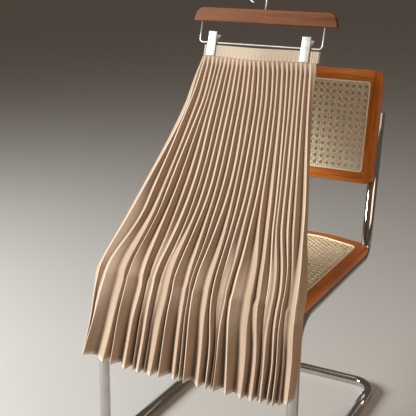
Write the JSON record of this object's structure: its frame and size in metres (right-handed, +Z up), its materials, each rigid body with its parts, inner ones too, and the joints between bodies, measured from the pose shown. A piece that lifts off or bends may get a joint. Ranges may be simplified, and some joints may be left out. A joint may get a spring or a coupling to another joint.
{
  "type": "pleated a-line skirt on a clip hanger, draped over a cantilever cane chair",
  "caption": "Pleated midi skirt clipped to a wooden trouser hanger, its folds laid over the front edge of a bent tube chair with cane seat and back.",
  "frame": {"origin": "on the floor under the centre of the whole part's box", "axes": "+Z up, -Y to the chair's front and the skirt's outer side, +X to the viewer's right facing the front"},
  "size_m": [0.4896, 0.6349, 0.9999],
  "materials": {
    "pleated_cloth": "soft beige pleated knit, matt with a faint sheen on the fold edges",
    "waistband_cloth": "the same cloth, smooth in front and elastic ribbed at the back",
    "hanger_wood": "dark walnut stain under semi-gloss lacquer",
    "hanger_steel": "bright drawn wire",
    "clip_steel": "satin plated sheet",
    "chrome_tube": "polished chrome",
    "chair_wood": "orange-brown stained beech under satin lacquer",
    "cane": "woven rattan cane, pale straw, with a cream spline round it"
  },
  "bodies": {
    "root": {"skirt_front": "pleated_cloth", "skirt_back": "pleated_cloth", "waistband_front": "waistband_cloth", "waistband_back": "waistband_cloth", "hanger_bar": "hanger_wood", "hanger_wire": "hanger_steel", "hanger_hook": "hanger_steel", "clip_left_front": "clip_steel", "clip_left_back": "clip_steel", "clip_left_spring": "hanger_steel", "clip_right_front": "clip_steel", "clip_right_back": "clip_steel", "clip_right_spring": "hanger_steel", "tube_left": "chrome_tube", "tube_right": "chrome_tube", "tube_floor": "chrome_tube", "seat_frame": "chair_wood", "seat_cane": "cane", "back_frame": "chair_wood", "back_cane": "cane"}
  },
  "joints": []
}
